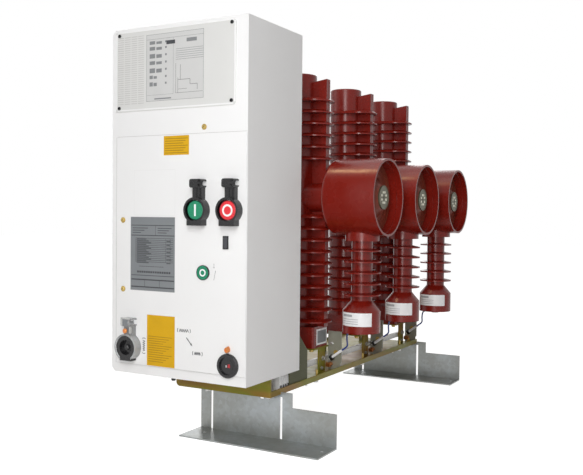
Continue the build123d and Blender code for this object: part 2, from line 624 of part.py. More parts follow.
save("front_foot", make_foot(FRONT_FOOT_Y))
save("rear_foot", make_foot(TRAY_REAR_Y))
save("base_tray", make_tray())
save("mechanism_housing", make_housing())
save("front_cover", make_front_cover())
save("vent_panel", make_vent_panel())
save("close_guard", make_guard(CLOSE_BUTTON_X))
save("open_guard", make_guard(OPEN_BUTTON_X))
save("close_button", make_button(CLOSE_BUTTON_X))
save("open_button", make_button(OPEN_BUTTON_X))
save("charging_socket", make_socket())
save("socket_clear_housing", make_clear_housing())
save("counter_window", make_counter())
save("status_indicator", make_indicator())
save("lock_ring", make_lock_ring())
save("housing_gusset", make_gusset())
save("coupling_bar", make_bar())
save("terminal_block", make_terminals())

pole = make_pole()
cup = make_cup() - Pos(POLE_X, 0, 0) * pole
disc = make_disc()
contact = make_contact()
post = make_post()
for k, y in enumerate(POLE_YS):
    number = str(k + 1)
    save("pole_column_" + number, Pos(POLE_X, y, 0) * pole)
    save("bushing_cup_" + number, Pos(0, y, 0) * cup)
    save("cup_disc_" + number, Pos(0, y, 0) * disc)
    save("contact_" + number, Pos(0, y, 0) * contact)
    save("post_insulator_" + number, Pos(0, y, 0) * post)
    save("pole_carrier_" + number, make_carrier(y))
    save("pole_bracket_" + number, make_bracket(y))
    save("cable_gland_" + number, make_gland(y))
    save("cable_sleeve_" + number, make_sleeve(y))
    save("sensor_lead_" + number, make_lead(y))
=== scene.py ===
import bpy
import math
from mathutils import Matrix, Vector


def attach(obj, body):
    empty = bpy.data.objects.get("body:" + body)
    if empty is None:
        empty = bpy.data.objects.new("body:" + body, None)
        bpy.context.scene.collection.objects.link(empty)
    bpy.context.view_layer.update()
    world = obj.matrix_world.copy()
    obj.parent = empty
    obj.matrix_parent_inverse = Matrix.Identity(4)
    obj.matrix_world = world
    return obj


# Dressed scene of the gas insulated breaker. Places are written in the drawing's millimetres and turned
# into the part's frame in metres: X from the housing's right side, Y from its front, Z from the floor.

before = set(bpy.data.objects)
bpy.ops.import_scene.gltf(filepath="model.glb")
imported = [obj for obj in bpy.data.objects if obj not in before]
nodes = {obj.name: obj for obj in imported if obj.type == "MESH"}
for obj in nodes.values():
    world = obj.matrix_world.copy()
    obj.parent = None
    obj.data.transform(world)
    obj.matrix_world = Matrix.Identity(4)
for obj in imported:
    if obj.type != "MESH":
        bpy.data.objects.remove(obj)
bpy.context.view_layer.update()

ORIGIN_X = -105.6
ORIGIN_Y = 486.8
MM = 0.001

# Places on the CAD solids
COVER_FACE = -2.0
BUTTON_FACE = -16.0
BUTTON_Z = 470.0
CLOSE_X = -106.5
OPEN_X = -33.2
POLE_YS = (407.0, 657.0, 907.0)
BLOCK_RIGHT_X = -53.0
BLOCK_BOTTOM = 157.5
BRACKET_FRONT = 43.0
CARRIER_SHEET = 4.0
CUP_Z = 503.6
CUP_FLOOR_X = 80.8
CONTACT_FACE = 100.8
POST_X = 50.0
POST_BASE_RADIUS = 42.7
TRAY_BOTTOM = 95.5
TRAY_FLOOR = 98.5
HOUSING_UNDERSIDE = 141.0
RIDGE_FACE = -39.5

# Thin things on those faces
PRINT_RISE = 0.1
FAINT_RISE = 0.05
PLATE_SHEET = 0.3
NAMEPLATE_SHEET = 0.4
SHARP_ANGLE = math.radians(30)

# Finishes
NOISE_LOW, NOISE_HIGH = 0.3, 0.7   # the range that the noise textures mostly stay in
LEAST_ROUGH = 0.02
BUMP_HEIGHT = 0.0001

# Light
ROOM_LIGHT = 0.13                  # the world's strength as a light on the object
FLOOR_WHITE = 1.9
FLOOR_SHARE = 0.5                  # of white, beside the floor that is lit and shaded
FLOOR_HALF = 12.0
WHITE = (1, 1, 1)
WARM = (1.0, 0.9, 0.8)
AMBER = (1.0, 0.66, 0.34)
LAMPS = (
    # name, place, target, width, height, watts, colour
    ("key", (0.78, -1.95, 0.95), (0, 0, 0.45), 0.5, 1.6, 28, WHITE),
    ("ceiling", (0.1, 0.1, 2.7), (0.1, 0.0, 0.5), 1.8, 1.0, 8, WARM),
    ("tube", (-0.69, -0.35, 2.4), (0.1, -0.05, 0.58), 0.28, 0.13, 4.5, AMBER),
    ("left", (-2.2, -1.2, 1.4), (-0.2, 0, 0.4), 0.8, 1.4, 5, WHITE),
    ("rear", (-1.6, 2.8, 1.7), (0, 0.2, 0.4), 1.6, 1.6, 14, WHITE),
)

FRONT = (0, -1, 0)
REAR = (0, 1, 0)
RIGHT = (1, 0, 0)
UP = (0, 0, 1)
DOWN = (0, 0, -1)


def at(x, y, z):
    """A drawing point in the part's frame."""
    return Vector(((x - ORIGIN_X) * MM, (y - ORIGIN_Y) * MM, z * MM))


def tone(red, green, blue):
    """A screen colour from 0 to 255 as the shader's own linear values."""
    def linear(level):
        share = level / 255
        return ((share + 0.055) / 1.055) ** 2.4 if level > 10 else share / 12.92

    return (linear(red), linear(green), linear(blue), 1.0)


# Materials
class Surface:
    """A procedural finish: broad patches of tone, fine grain in the roughness and a bump."""

    def __init__(self, name, rough, metal=0.0):
        self.material = bpy.data.materials.new(name)
        self.material.use_nodes = True
        self.tree = self.material.node_tree
        self.shader = self.tree.nodes["Principled BSDF"]
        self.shader.inputs["Roughness"].default_value = rough
        self.shader.inputs["Metallic"].default_value = metal
        self.rough = rough
        self.place = self.tree.nodes.new("ShaderNodeTexCoord").outputs["Object"]

    def link(self, source, target):
        self.tree.links.new(source, target)

    def noise(self, scale, detail=4.0, stretch=(1, 1, 1)):
        mapping = self.tree.nodes.new("ShaderNodeMapping")
        mapping.inputs["Scale"].default_value = stretch
        self.link(self.place, mapping.inputs["Vector"])
        texture = self.tree.nodes.new("ShaderNodeTexNoise")
        texture.inputs["Scale"].default_value = scale
        texture.inputs["Detail"].default_value = detail
        self.link(mapping.outputs["Vector"], texture.inputs["Vector"])
        return texture.outputs["Fac"]

    def colours(self, source, stops):
        """Colour ramp of (place, colour) stops into the base colour."""
        ramp = self.tree.nodes.new("ShaderNodeValToRGB")
        elements = ramp.color_ramp.elements
        elements[0].position, elements[0].color = stops[0]
        elements[1].position, elements[1].color = stops[-1]
        for place, colour in stops[1:-1]:
            element = elements.new(place)
            element.color = colour
        self.link(source, ramp.inputs["Fac"])
        self.link(ramp.outputs["Color"], self.shader.inputs["Base Color"])

    def polish(self, source, spread):
        """Roughness that changes a little from place to place."""
        span = self.tree.nodes.new("ShaderNodeMapRange")
        span.inputs["From Min"].default_value = NOISE_LOW
        span.inputs["From Max"].default_value = NOISE_HIGH
        span.inputs["To Min"].default_value = max(self.rough - spread, LEAST_ROUGH)
        span.inputs["To Max"].default_value = self.rough + spread
        self.link(source, span.inputs["Value"])
        self.link(span.outputs["Result"], self.shader.inputs["Roughness"])

    def bump(self, source, strength, height=BUMP_HEIGHT):
        bump = self.tree.nodes.new("ShaderNodeBump")
        bump.inputs["Strength"].default_value = strength
        bump.inputs["Distance"].default_value = height
        self.link(source, bump.inputs["Height"])
        self.link(bump.outputs["Normal"], self.shader.inputs["Normal"])


def shades(colour, change):
    """Two stops round one colour."""
    low = tuple(max(c * (1 - change), 0) for c in colour[:3]) + (1.0,)
    high = tuple(min(c * (1 + change), 1) for c in colour[:3]) + (1.0,)
    return [(NOISE_LOW, low), (NOISE_HIGH, high)]


def plain(name, colour, rough, change=0.06, broad=9.0, grain=900.0, bump=0.15, height=BUMP_HEIGHT,
          metal=0.0, stretch=(1, 1, 1), shine=0.5):
    """One colour: broad and grain are noise scales, change and bump are how much they show."""
    surface = Surface(name, rough, metal)
    surface.shader.inputs["Specular IOR Level"].default_value = shine
    surface.colours(surface.noise(broad, 5.0), shades(tone(*colour), change))
    fine = surface.noise(grain, 3.0, stretch)
    surface.polish(fine, rough * 0.25)
    surface.bump(fine, bump, height)
    return surface.material


def galvanised():
    """Zinc with a faint spangle."""
    surface = Surface("galvanised", 0.36, 0.65)
    spangle = surface.tree.nodes.new("ShaderNodeTexVoronoi")
    spangle.inputs["Scale"].default_value = 130.0
    surface.link(surface.place, spangle.inputs["Vector"])
    split = surface.tree.nodes.new("ShaderNodeSeparateColor")
    surface.link(spangle.outputs["Color"], split.inputs["Color"])
    blend = surface.tree.nodes.new("ShaderNodeMix")
    blend.inputs["Factor"].default_value = 0.12
    surface.link(surface.noise(9.0, 5.0), blend.inputs["A"])
    surface.link(split.outputs["Red"], blend.inputs["B"])
    surface.colours(blend.outputs["Result"], [(0.3, tone(138, 139, 134)), (0.5, tone(150, 153, 151)),
                                              (0.7, tone(166, 171, 174))])
    surface.polish(surface.noise(40.0, 4.0), 0.05)
    surface.bump(surface.noise(120.0, 2.0), 0.05)
    return surface.material


def chromate():
    """Yellow chromate, drifting between gold, green and brown."""
    surface = Surface("chromate", 0.4, 0.15)
    surface.shader.inputs["Specular IOR Level"].default_value = 0.25
    surface.colours(surface.noise(5.0, 3.0, (1, 0.6, 3.5)),
                    [(0.30, tone(134, 92, 42)), (0.42, tone(138, 112, 42)), (0.52, tone(122, 122, 36)),
                     (0.60, tone(134, 114, 42)), (0.72, tone(126, 90, 44))])
    surface.polish(surface.noise(30.0, 4.0), 0.08)
    surface.bump(surface.noise(300.0, 3.0), 0.12)
    return surface.material


def clear():
    surface = Surface("clear_plastic", 0.12)
    surface.shader.inputs["Transmission Weight"].default_value = 0.7
    surface.shader.inputs["IOR"].default_value = 1.3
    fine = surface.noise(120.0, 3.0)
    surface.colours(surface.noise(20.0), shades(tone(242, 244, 245), 0.02))
    surface.polish(fine, 0.03)
    surface.bump(fine, 0.06)
    return surface.material


PLAIN_FINISHES = {
    # White housing paint; also the painted highlight along the vent panel's edge.
    "white_paint": dict(colour=(238, 238, 238), rough=0.46, change=0.01, grain=1400.0, bump=0.10),
    "grey_panel": dict(colour=(216, 216, 214), rough=0.5, change=0.02, grain=1000.0, bump=0.25),
    "black_plastic": dict(colour=(26, 26, 28), rough=0.24, change=0.15, grain=700.0),
    "green_plastic": dict(colour=(20, 136, 98), rough=0.3, change=0.08),
    "red_plastic": dict(colour=(222, 48, 58), rough=0.3, change=0.08),
    "resin": dict(colour=(124, 26, 16), rough=0.27, change=0.08, broad=5.0, grain=40.0, bump=0.05,
                  height=0.0002, shine=0.34),
    "resin_disc": dict(colour=(126, 55, 38), rough=0.42, change=0.12, broad=22.0, grain=300.0, shine=0.3),
    "contact_metal": dict(colour=(94, 92, 72), rough=0.42, change=0.12, broad=60.0, metal=0.3),
    "olive_paint": dict(colour=(80, 81, 54), rough=0.55, change=0.08, broad=20.0, shine=0.3),
    "bracket_steel": dict(colour=(146, 146, 132), rough=0.42, change=0.08, broad=30.0, metal=0.25),
    "bar_steel": dict(colour=(206, 206, 204), rough=0.32, broad=30.0, metal=0.45, grain=500.0,
                      stretch=(8, 0.3, 8)),
    # Pale plating raised to near white: painted glints on the contact bolts' heads.
    "plated_with_painted_glint": dict(colour=(232, 231, 212), rough=0.35, broad=60.0, metal=0.2),
    "bright_steel": dict(colour=(190, 190, 188), rough=0.3, broad=60.0, metal=0.8),
    "white_plastic": dict(colour=(246, 247, 248), rough=0.4, change=0.02),
    "blue_plastic": dict(colour=(38, 62, 140), rough=0.35, change=0.1, broad=60.0),
    "red_print": dict(colour=(168, 36, 44), rough=0.4, broad=90.0),
    "brass": dict(colour=(184, 158, 88), rough=0.34, change=0.12, broad=80.0, metal=0.6),
    "copper": dict(colour=(206, 132, 78), rough=0.3, change=0.14, broad=80.0, metal=0.9),
    "yellow_foil": dict(colour=(212, 164, 0), rough=0.75, change=0.05, broad=30.0),
    "label_foil": dict(colour=(204, 204, 203), rough=0.45, change=0.02, broad=30.0),
    "name_foil": dict(colour=(124, 128, 131), rough=0.4, change=0.04, broad=30.0),
    # Dark print; also the painted shade in the cover screws' slots.
    "ink_and_slot_shade": dict(colour=(60, 62, 66), rough=0.6, change=0.1, broad=60.0),
    "pale_ink": dict(colour=(128, 130, 132), rough=0.6, change=0.05, broad=60.0),
    "slot_shade": dict(colour=(196, 195, 193), rough=0.7, change=0.04, broad=60.0),
    "press_shade": dict(colour=(230, 230, 230), rough=0.6, change=0.02, broad=60.0),
    "faint_ink": dict(colour=(176, 178, 182), rough=0.6, change=0.05, broad=60.0),
    "foil_print": dict(colour=(146, 110, 4), rough=0.7, change=0.08, broad=60.0),
}
MATERIALS = {"galvanised": galvanised(), "chromate": chromate(), "clear_plastic": clear()}
for name, values in PLAIN_FINISHES.items():
    MATERIALS[name] = plain(name, **values)

# Finish of each CAD node, by the start of its name
NODES_OF = {
    "galvanised": ("front_foot", "rear_foot"),
    "chromate": ("base_tray", "pole_carrier_"),
    "white_paint": ("mechanism_housing", "front_cover"),
    "grey_panel": ("vent_panel",),
    "black_plastic": ("close_guard", "open_guard", "charging_socket", "counter_window", "lock_ring",
                      "cable_gland_"),
    "green_plastic": ("close_button", "status_indicator"),
    "red_plastic": ("open_button",),
    "clear_plastic": ("socket_clear_housing",),
    "resin": ("pole_column_", "bushing_cup_", "post_insulator_"),
    "resin_disc": ("cup_disc_",),
    "contact_metal": ("contact_",),
    "olive_paint": ("housing_gusset",),
    "bracket_steel": ("pole_bracket_",),
    "bar_steel": ("coupling_bar",),
    "white_plastic": ("terminal_block", "cable_sleeve_"),
    "blue_plastic": ("sensor_lead_",),
}
for finish, starts in NODES_OF.items():
    for name, node in nodes.items():
        if name.startswith(starts):
            node.data.materials.clear()
            node.data.materials.append(MATERIALS[finish])


# Mesh pieces
BOX_FACES = ((0, 2, 3, 1), (4, 5, 7, 6), (0, 1, 5, 4), (2, 6, 7, 3), (0, 4, 6, 2), (1, 3, 7, 5))
STROKE_FACES = ((0, 1, 2, 3), (7, 6, 5, 4), (0, 4, 5, 1), (1, 5, 6, 2), (2, 6, 7, 3), (3, 7, 4, 0))


def rings_of_points(start, axis, profile, count):
    """Circles of points round an axis, one for each (distance along it, radius) of the profile."""
    axis = Vector(axis).normalized()
    side = axis.orthogonal().normalized()
    other = axis.cross(side)
    origin = at(*start)
    points = []
    for along, radius in profile:
        for k in range(count):
            angle = 2 * math.pi * k / count
            arm = side * math.cos(angle) + other * math.sin(angle)
            points.append(origin + (axis * along + arm * radius) * MM)
    return points


class Batch:
    """Like small pieces gathered into one mesh."""

    def __init__(self):
        self.points = []
        self.faces = []

    def add(self, points, faces):
        start = len(self.points)
        self.points += [Vector(p) for p in points]
        self.faces += [tuple(start + i for i in face) for face in faces]

    def box(self, x0, x1, y0, y1, z0, z1):
        self.add([at(x, y, z) for z in (z0, z1) for y in (y0, y1) for x in (x0, x1)], BOX_FACES)

    def turned(self, start, axis, profile, count=32):
        """A closed turned piece: profile holds (distance along the axis, radius) from end to end."""
        faces = [tuple(reversed(range(count)))]
        for lap in range(len(profile) - 1):
            for k in range(count):
                a = lap * count + k
                b = lap * count + (k + 1) % count
                faces.append((a, b, b + count, a + count))
        faces.append(tuple(range((len(profile) - 1) * count, len(profile) * count)))
        self.add(rings_of_points(start, axis, profile, count), faces)

    def rod(self, start, axis, radius, length, count=32, edge=0.0):
        """A round bar, with a chamfer of the given size at its far end."""
        if edge:
            profile = [(0, radius), (length - edge, radius), (length, radius - edge)]
        else:
            profile = [(0, radius), (length, radius)]
        self.turned(start, axis, profile, count)

    def ring(self, start, axis, outer, inner, length, count=48):
        """A flat ring with square edges."""
        profile = ((0, outer), (length, outer), (length, inner), (0, inner))
        laps = len(profile)
        faces = []
        for lap in range(laps):
            here, after = lap * count, ((lap + 1) % laps) * count
            for k in range(count):
                beside = (k + 1) % count
                faces.append((here + k, here + beside, after + beside, after + k))
        self.add(rings_of_points(start, axis, profile, count), faces)

    def stroke(self, x0, z0, x1, z1, width, face=COVER_FACE, rise=PRINT_RISE):
        """A straight line of print on a plane that faces the front."""
        run = Vector((x1 - x0, z1 - z0))
        across = Vector((-run.y, run.x)).normalized() * width / 2
        corners = []
        for y in (face, face - rise):
            for x, z, sign in ((x0, z0, 1), (x1, z1, 1), (x1, z1, -1), (x0, z0, -1)):
                corners.append(at(x + sign * across.x, y, z + sign * across.y))
        self.add(corners, STROKE_FACES)

    def bolt(self, start, axis, size, head, shank=0.0):
        """A hexagon head of the given size across its corners, on a washer, with an optional shank."""
        axis = Vector(axis)
        washer_radius, washer_height = size * 0.62, head * 0.2
        flank_height, head_height = head * 0.65, head * 0.8
        crown_radius, shank_radius = size * 0.42, size * 0.25
        self.turned(start, axis, [(0, washer_radius), (washer_height, washer_radius)], 24)
        seat = Vector(start) + axis * washer_height
        hexagon = [(0, size / 2), (flank_height, size / 2), (head_height, crown_radius)]
        self.turned(seat, axis, hexagon, 6)
        if shank:
            self.turned(seat, axis, [(0, shank_radius), (shank, shank_radius)], 16)

    def bent_sheet(self, y, radius, first, last, low, high, steps):
        """A thin sheet bent round a post, from one angle to another."""
        points = []
        for k in range(steps + 1):
            angle = first + (last - first) * k / steps
            for z in (low, high):
                points.append(at(POST_X + radius * math.cos(angle), y + radius * math.sin(angle), z))
        self.add(points, [(2 * k, 2 * k + 2, 2 * k + 3, 2 * k + 1) for k in range(steps)])

    def make(self, name, finish, body="breaker"):
        mesh = bpy.data.meshes.new(name)
        mesh.from_pydata(self.points, [], self.faces)
        mesh.validate()
        mesh.shade_smooth()
        mesh.set_sharp_from_angle(angle=SHARP_ANGLE)
        mesh.materials.append(MATERIALS[finish])
        piece = bpy.data.objects.new(name, mesh)
        bpy.context.scene.collection.objects.link(piece)
        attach(piece, body)


# Vent panel
# Grey strips of painted shade where the vent panel's slots are, in place of the dark gaps.
def vent_slot_shade():
    left, right, bottom, top = -308.6, -242.3, 680.6, 816.9
    columns, rows = 4, 32
    gap = 2.6
    slot_height, slot_rise, slot_sink = 1.5, 0.12, 0.1
    column_pitch = (right - left + gap) / columns
    row_pitch = (top - bottom) / rows
    slot_shade_marks = Batch()
    for column in range(columns):
        x = left + column_pitch * column
        for row in range(rows):
            z = bottom + row_pitch * row
            slot_shade_marks.box(x, x + column_pitch - gap, COVER_FACE - slot_rise, COVER_FACE + slot_sink,
                      z, z + slot_height)
    slot_shade_marks.make("vent_slot_shade", "slot_shade")


def vent_panel_edge_highlight():
    """White strips of painted highlight along the vent panel's bevelled edge, raised a little and open at
    its four corners.
    """
    left, right, bottom, top = -314.0, -26.0, 667.0, 826.0
    width, rise, corner = 3.0, 0.5, 5
    inset = width / 2 + 0.4
    border = Batch()
    for x in (left + inset, right - inset):
        border.stroke(x, bottom + corner, x, top - corner, width, rise=rise)
    for z in (bottom + inset, top - inset):
        border.stroke(left + corner, z, right - corner, z, width, rise=rise)
    border.make("vent_panel_edge_highlight", "white_paint")


def vent_panel_screws():
    profile = [(0, 3.6), (1.4, 3.6), (2.2, 2.9), (2.25, 1.7), (1.2, 1.6)]
    screws = Batch()
    for x, z in ((-304.4, 818.1), (-34.9, 818.8), (-35.2, 674.5), (-305.0, 673.6)):
        screws.turned((x, COVER_FACE, z), FRONT, profile)
    screws.make("vent_panel_screws", "black_plastic")


def panel_label():
    """A pale plate with a plain diagram of boxes and lines, with no words."""
    left, right, bottom, top = -236.0, -98.6, 683.3, 813.5
    face = COVER_FACE - PLATE_SHEET
    plate = Batch()
    plate.box(left, right, face, COVER_FACE, bottom, top)
    plate.make("panel_label", "label_foil")

    dark = Batch()
    pale = Batch()

    def pale_box(x0, x1, z0, z1):
        pale.box(x0, x1, face - PRINT_RISE, face, z0, z1)

    # Frame and divisions of the plate
    divider = left + 66.0
    header, footer = top - 9.5, bottom + 12
    edge = 0.3
    pale.stroke(left, header, right, header, 0.5, face)
    pale.stroke(divider, header, divider, footer, 0.4, face)
    pale.stroke(left, footer, divider, footer, 0.4, face)
    for x in (left + edge, right - edge):
        pale.stroke(x, bottom, x, top, 0.6, face)
    for z in (bottom + edge, top - edge):
        pale.stroke(left, z, right, z, 0.6, face)
    # Rows of boxes on its left: drop from the top, height and width
    rows = ((13, 6.5, 30.0), (24, 7, 30.0), (38, 8.5, 30.0), (52, 7, 30.0), (66, 9, 30.0),
            (80, 6.5, 18.0), (93, 8, 18.0))
    for drop, tall, wide in rows:
        z = top - drop
        pale_box(left + 8, left + 8 + wide * 0.45, z - tall, z)
        pale_box(left + 8 + wide * 0.55, left + 8 + wide, z - tall, z - 1.5)
        pale_box(left + 46, left + 50, z - 5, z - 1)
    dark.box(left + 49, left + 70, face - 0.12, face, top - 22, top - 14.5)
    pale_box(right - 40, right - 16, top - 21, top - 14)
    for k in range(6):
        z = top - 33 - 4 * k
        pale.stroke(divider + 6, z, right - 1, z, 0.7, face)
    # Axes and stepped curve on its right: ends above the plate's bottom, then width
    x = divider + 6
    lines = ((x, 13, x, 70, 0.5), (x, 13, right - 2, 13, 0.5), (x + 11, 38, x + 11, 67, 0.6),
             (x + 5, 38, x + 34, 38, 0.7), (x + 34, 38, x + 34, 28, 0.7), (x + 34, 28, x + 51, 28, 0.7),
             (x + 51, 28, x + 51, 17, 0.6), (x + 5, 12, x + 5, 42, 0.5), (x + 5, 20, x + 27, 20, 0.5))
    for x0, z0, x1, z1, width in lines:
        dark.stroke(x0, bottom + z0, x1, bottom + z1, width, face)
    pale_box(left + 20, left + 61, bottom + 3, bottom + 5.5)
    dark.make("panel_label_diagram", "ink_and_slot_shade")
    pale.make("panel_label_boxes", "pale_ink")


# Plates and print on the front cover
def yellow_plates():
    """Two yellow plates with plain rules in place of words."""
    face = COVER_FACE - PLATE_SHEET
    plates = Batch()
    plates.box(-192.0, -131.6, face, COVER_FACE, 576.6, 613.9)
    plates.box(-231.5, -163.2, face, COVER_FACE, 161.5, 262.3)
    plates.make("yellow_plates", "yellow_foil")
    rules = Batch()
    for k in range(7):
        z = 608.5 - 4.6 * k
        rules.stroke(-189.0, z, -134.6 - 5.0 * (k % 3), z, 1.1, face)
    for k in range(12):
        z = 220.0 - 4.5 * k
        rules.stroke(-228.0, z, -170.0 - 7.0 * (k % 4), z, 0.9, face)
    rules.make("yellow_plate_rules", "foil_print")


def nameplate():
    """A grey plate ruled like a table, with bars in place of words."""
    left, right, bottom, top = -274.0, -164.0, 309.7, 456.0
    face = COVER_FACE - NAMEPLATE_SHEET
    plate = Batch()
    plate.box(left, right, face, COVER_FACE, bottom, top)
    plate.make("nameplate", "name_foil")

    rules = Batch()

    def level(x0, x1, z, width):
        rules.stroke(x0, z, x1, z, width, face)

    def upright(x, z0, z1, width):
        rules.stroke(x, z0, x, z1, width, face)

    for drop, width in ((16.5, 1.4), (36.5, 1.6), (116.0, 1.2), (124.5, 2.4), (139.0, 2.4)):
        level(left + 2, right - 1, top - drop, width)
    # Lines of the table, with bars between them
    for k in range(14):
        z = top - 42 - 3.6 * k
        level(left + 13, right - 4, z, 0.8)
        level(left + 16, left + 40 + 6 * (k % 3), z - 1.8, 1.5)
        if k % 2:
            level(right - 20, right - 12 + 2 * (k % 3), z - 1.8, 1.5)
    # Rows of short bars under the table
    for k in range(15):
        x = left + 17 + 5.6 * k
        level(x, x + 4.2, top - 109.0, 4.0)
        if k < 11:
            level(x + 5, x + 9.4, top - 98.0, 1.0)
    # Bars over the table
    for k in range(3):
        z = top - 22 - 4.5 * k
        level(left + 5, left + 44 - 9 * k, z, 1.3)
        level(left + 68, right - 8 - 6 * k, z, 1.3)
    upright(left + 63, top - 36, top - 17, 0.6)
    for x in (left + 36, left + 73):
        upright(x, top - 138, top - 125, 0.6)
    for x in (left + 13, left + 88, left + 99):
        upright(x, top - 42, top - 88.8, 0.5)
    rules.make("nameplate_rules", "ink_and_slot_shade")


def spring_symbol(batch, x, z, waves, pitch, upright):
    """A zigzag between two round brackets."""
    width = 1.2
    zig_half = 3.0
    bracket_gap, bracket_bulge, bracket_half = 0.5, 4.0, 5.2

    def place(along, across):
        return (x + across, z + along) if upright else (x + along, z + across)

    half = waves * pitch / 2
    lines = [[place(-half + pitch * k / 2, zig_half if k % 2 else -zig_half)
              for k in range(2 * waves + 1)]]
    for sign in (-1, 1):
        bracket = []
        for k in range(-2, 3):
            angle = math.radians(24 * k)
            along = sign * (half + bracket_gap + bracket_bulge * math.cos(angle))
            bracket.append(place(along, bracket_half * math.sin(angle)))
        lines.append(bracket)
    for line in lines:
        for a, b in zip(line, line[1:]):
            batch.stroke(*a, *b, width)


def cover_print():
    symbols = Batch()
    # Switch symbol beside the indicator
    symbols.stroke(-71.9, 361.5, -71.9, 369.6, 0.6)
    symbols.stroke(-68.1, 356.5, -72.1, 338.0, 0.6)
    symbols.stroke(-73.6, 361.5, -70.2, 361.5, 0.6)
    # Arrow between two of the spring symbols, its head made of strokes that widen from the tip
    symbols.stroke(-135.1, 224.1, -124.6, 212.6, 1.8)
    tip_x, tip_z = -121.6, 209.3
    run_x, run_z = 0.67, 0.74
    for k in range(5):
        half = 0.4 + 0.36 * k
        x = tip_x - run_x * k
        z = tip_z + run_z * k
        symbols.stroke(x - run_z * half, z - run_x * half, x + run_z * half, z + run_x * half, 1.1)
    waves = 5
    for x, z, pitch, upright in ((-141.1, 237.2, 4.4, False), (-108.8, 195.5, 2.8, False),
                                 (-239.5, 199.5, 4.4, True)):
        spring_symbol(symbols, x, z, waves, pitch, upright)
    symbols.make("cover_symbols", "ink_and_slot_shade")


def pressed_outline_shade():
    """Lines of painted shade along the edges of the faint pressed rectangle above the nameplate."""
    left, right, bottom, top = -265.7, -164.4, 459.5, 548.6
    width = 0.7
    press_shade_lines = Batch()
    for z in (bottom, top):
        press_shade_lines.stroke(left, z, right, z, width, rise=FAINT_RISE)
    for x in (left, right):
        press_shade_lines.stroke(x, bottom, x, top, width, rise=FAINT_RISE)
    press_shade_lines.make("pressed_outline_shade", "press_shade")


def cover_screws():
    places = ((-97.7, 0.0, 628.2), (-294.0, COVER_FACE, 449.3), (-293.2, COVER_FACE, 310.5))
    height = 3.2
    profile = [(0, 5.6), (0.8, 5.6), (0.9, 4.6), (2.4, 4.4), (height, 3.4)]
    slot_x, slot_z, slot_width = 2.1, 1.6, 0.9
    screws = Batch()
    slot_shade_marks = Batch()
    for x, face, z in places:
        screws.turned((x, face, z), FRONT, profile)
        # Each screw's slot is a dark stroke of painted shade across its head.
        slot_shade_marks.stroke(x - slot_x, z - slot_z, x + slot_x, z + slot_z, slot_width, face - height, FAINT_RISE)
    screws.make("cover_screws", "brass")
    slot_shade_marks.make("cover_screw_slot_shade", "ink_and_slot_shade")


# Buttons, indicator, counter and lock
def button_marks():
    rise = 0.3
    bar_half_width, bar_half_height = 2.0, 11.2
    ring_outer, ring_inner = 11.4, 7.8
    bar = Batch()
    bar.box(CLOSE_X - bar_half_width, CLOSE_X + bar_half_width, BUTTON_FACE - rise, BUTTON_FACE,
            BUTTON_Z - bar_half_height, BUTTON_Z + bar_half_height)
    bar.make("close_button_mark", "white_plastic", body="close_button_body")
    ring = Batch()
    ring.ring((OPEN_X, BUTTON_FACE, BUTTON_Z), FRONT, ring_outer, ring_inner, rise)
    ring.make("open_button_mark", "white_plastic", body="open_button_body")


def guard_ribs():
    width = 1.6
    front, back = COVER_FACE - 12.6, COVER_FACE - 11
    low, high = BUTTON_Z + 24.5, BUTTON_Z + 41
    ribs = Batch()
    for x in (CLOSE_X, OPEN_X):
        for shift in (0.5, 8.0):
            ribs.box(x + shift, x + shift + width, front, back, low, high)
    ribs.make("guard_ribs", "black_plastic")


def indicator_marks():
    x, z = -96.0, 351.4
    indicator_face = COVER_FACE - 3.0
    pale = Batch()
    pale.ring((x, indicator_face, z), FRONT, 7.2, 4.4, 0.2)
    pale.make("indicator_ring", "white_plastic")
    rim = Batch()
    rim.ring((x, COVER_FACE, z), FRONT, 14.2, 13.05, 3.4)
    rim.make("indicator_rim", "black_plastic")


def counter_glass():
    x, z = -45.3, 409.8
    half_width, half_height = 4.2, 10.2
    front, back = COVER_FACE - 2.25, COVER_FACE - 2.0
    glass = Batch()
    glass.box(x - half_width, x + half_width, front, back, z - half_height, z + half_height)
    glass.make("counter_glass", "ink_and_slot_shade")


def lock_face():
    """Dark window with its two marks, and the key lock above it."""
    x, z = -38.0, 179.0
    window_back, window_face, mark_face = -4.0, -4.5, -4.6
    window = Batch()
    window.rod((x, window_back, z), FRONT, 12.0, 0.5, 40)
    window.make("lock_window", "black_plastic")
    red = Batch()
    red.box(x + 0.5, x + 5.5, mark_face, window_face, z - 3.4, z + 3.4)
    red.make("lock_window_red", "red_print")
    white = Batch()
    white.box(x - 3.6, x - 2.2, mark_face, window_face, z - 3.0, z + 1.5)
    white.make("lock_window_white", "white_plastic")
    key = Batch()
    profile = [(0, 5.4), (5.0, 5.4), (6.0, 4.6), (6.05, 2.0), (4.5, 1.9)]
    key.turned((-38.9, COVER_FACE, 208.8), FRONT, profile)
    key.rod((-37.6, COVER_FACE, 213.4), FRONT, 2.4, 4.0, 20, 0.5)
    key.make("key_lock", "copper")


